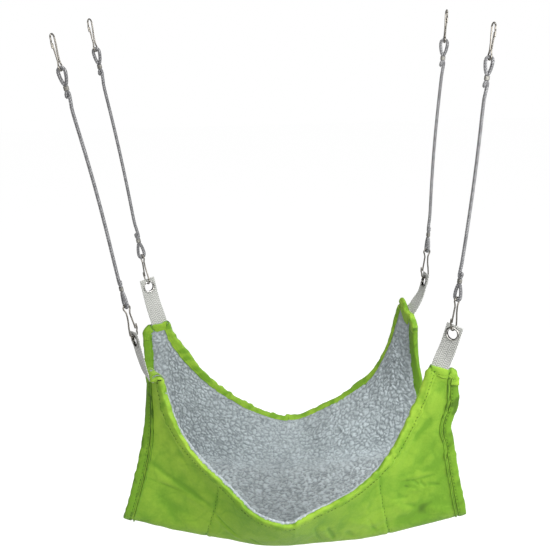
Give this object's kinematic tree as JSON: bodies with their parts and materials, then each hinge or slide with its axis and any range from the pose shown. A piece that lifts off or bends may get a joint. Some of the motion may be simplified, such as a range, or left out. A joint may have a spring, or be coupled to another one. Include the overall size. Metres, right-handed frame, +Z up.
{
  "type": "rodent hammock",
  "caption": "Fleece-lined fabric hammock for small pets, its corner straps hung on braided cords with wire snap hooks for the bars of a cage.",
  "frame": {"origin": "midway between the points where the snap hooks at the top bear on the cage's bars", "axes": "+X from left to right along the sling, +Y from the front edge to the back edge, +Z up"},
  "size_m": [0.4566, 0.3144, 0.596],
  "materials": {
    "polished_wire": "polished",
    "gate_wire": "polished",
    "nickel_plate": "satin",
    "braided_cord": "matte braid",
    "grey_webbing": "matte weave",
    "lime_fabric": "matte weave",
    "lime_trim": "matte weave",
    "sherpa_fleece": "matte pile"
  },
  "bodies": {
    "upper_hooks": {"upper_hook_front_left": "polished_wire", "upper_hook_front_right": "polished_wire", "upper_hook_back_left": "polished_wire", "upper_hook_back_right": "polished_wire"},
    "upper_gate_front_left": {"upper_gate_front_left": "gate_wire"},
    "upper_gate_front_right": {"upper_gate_front_right": "gate_wire"},
    "upper_gate_back_left": {"upper_gate_back_left": "gate_wire"},
    "upper_gate_back_right": {"upper_gate_back_right": "gate_wire"},
    "hanger_front_left": {"cord_front_left": "braided_cord", "upper_crimp_front_left": "nickel_plate", "lower_crimp_front_left": "nickel_plate", "lower_hook_front_left": "polished_wire"},
    "hanger_front_right": {"cord_front_right": "braided_cord", "upper_crimp_front_right": "nickel_plate", "lower_crimp_front_right": "nickel_plate", "lower_hook_front_right": "polished_wire"},
    "hanger_back_left": {"cord_back_left": "braided_cord", "upper_crimp_back_left": "nickel_plate", "lower_crimp_back_left": "nickel_plate", "lower_hook_back_left": "polished_wire"},
    "hanger_back_right": {"cord_back_right": "braided_cord", "upper_crimp_back_right": "nickel_plate", "lower_crimp_back_right": "nickel_plate", "lower_hook_back_right": "polished_wire"},
    "lower_gate_front_left": {"lower_gate_front_left": "gate_wire"},
    "lower_gate_front_right": {"lower_gate_front_right": "gate_wire"},
    "lower_gate_back_left": {"lower_gate_back_left": "gate_wire"},
    "lower_gate_back_right": {"lower_gate_back_right": "gate_wire"},
    "sling": {"outer_shell": "lime_fabric", "fleece_lining": "sherpa_fleece", "front_binding": "lime_trim", "back_binding": "lime_trim", "left_hem": "lime_trim", "right_hem": "lime_trim", "strap_front_left": "grey_webbing", "strap_front_right": "grey_webbing", "strap_back_left": "grey_webbing", "strap_back_right": "grey_webbing", "eyelet_front_left": "nickel_plate", "eyelet_front_right": "nickel_plate", "eyelet_back_left": "nickel_plate", "eyelet_back_right": "nickel_plate"}
  },
  "joints": [
    {"name": "upper_gate_flex_front_left", "type": "hinge", "parent": "upper_hooks", "child": "upper_gate_front_left", "pos_m": [-0.22162, -0.10509, -0.02642], "axis": [-0.9321, 0.309, -0.1891], "range_deg": [0, 14], "stiffness_Nm_per_rad": 0.02, "springref_deg": -2.86},
    {"name": "upper_gate_flex_front_right", "type": "hinge", "parent": "upper_hooks", "child": "upper_gate_front_right", "pos_m": [0.22402, -0.10512, -0.02676], "axis": [-0.9685, -0.225, 0.1065], "range_deg": [0, 14], "stiffness_Nm_per_rad": 0.02, "springref_deg": -2.86},
    {"name": "upper_gate_flex_back_left", "type": "hinge", "parent": "upper_hooks", "child": "upper_gate_back_left", "pos_m": [-0.20903, 0.10294, -0.02662], "axis": [-0.9088, 0.3907, -0.1463], "range_deg": [0, 14], "stiffness_Nm_per_rad": 0.02, "springref_deg": -2.86},
    {"name": "upper_gate_flex_back_right", "type": "hinge", "parent": "upper_hooks", "child": "upper_gate_back_right", "pos_m": [0.21116, 0.10285, -0.02684], "axis": [-0.9963, -0.0523, 0.0682], "range_deg": [0, 14], "stiffness_Nm_per_rad": 0.02, "springref_deg": -2.86},
    {"name": "cord_swing_front_left", "type": "hinge", "parent": "upper_hooks", "child": "hanger_front_left", "pos_m": [-0.21984, -0.104, -0.0334], "axis": [1, 0, 0], "range_deg": [-10, 10]},
    {"name": "cord_swing_front_right", "type": "hinge", "parent": "upper_hooks", "child": "hanger_front_right", "pos_m": [0.22297, -0.104, -0.03389], "axis": [1, 0, 0], "range_deg": [-10, 10]},
    {"name": "cord_swing_back_left", "type": "hinge", "parent": "upper_hooks", "child": "hanger_back_left", "pos_m": [-0.20744, 0.104, -0.03365], "axis": [1, 0, 0], "range_deg": [-10, 10]},
    {"name": "cord_swing_back_right", "type": "hinge", "parent": "upper_hooks", "child": "hanger_back_right", "pos_m": [0.21061, 0.104, -0.03402], "axis": [1, 0, 0], "range_deg": [-10, 10]},
    {"name": "lower_gate_flex_front_left", "type": "hinge", "parent": "hanger_front_left", "child": "lower_gate_front_left", "pos_m": [-0.16468, -0.10343, -0.30023], "axis": [-0.49, 0.866, -0.0994], "range_deg": [0, 14], "stiffness_Nm_per_rad": 0.02, "springref_deg": -2.86},
    {"name": "lower_gate_flex_front_right", "type": "hinge", "parent": "hanger_front_right", "child": "lower_gate_front_right", "pos_m": [0.1924, -0.10471, -0.30361], "axis": [0.612, -0.788, -0.0673], "range_deg": [0, 14], "stiffness_Nm_per_rad": 0.02, "springref_deg": -2.86},
    {"name": "lower_gate_flex_back_left", "type": "hinge", "parent": "hanger_back_left", "child": "lower_gate_back_left", "pos_m": [-0.16524, 0.10491, -0.30033], "axis": [-0.778, -0.6157, -0.1252], "range_deg": [0, 14], "stiffness_Nm_per_rad": 0.02, "springref_deg": -2.86},
    {"name": "lower_gate_flex_back_right", "type": "hinge", "parent": "hanger_back_right", "child": "lower_gate_back_right", "pos_m": [0.19104, 0.10374, -0.30353], "axis": [0.2244, -0.9744, -0.0154], "range_deg": [0, 14], "stiffness_Nm_per_rad": 0.02, "springref_deg": -2.86},
    {"name": "sling_level", "type": "hinge", "parent": "hanger_front_left", "child": "sling", "pos_m": [-0.16012, -0.104, -0.32767], "axis": [1, 0, 0], "range_deg": [-10, 10]}
  ],
  "couplings": [
    {"joint": "cord_swing_front_right", "follows": "cord_swing_front_left", "ratio": 1},
    {"joint": "cord_swing_back_left", "follows": "cord_swing_front_left", "ratio": 1},
    {"joint": "cord_swing_back_right", "follows": "cord_swing_front_left", "ratio": 1},
    {"joint": "sling_level", "follows": "cord_swing_front_left", "ratio": -1}
  ]
}
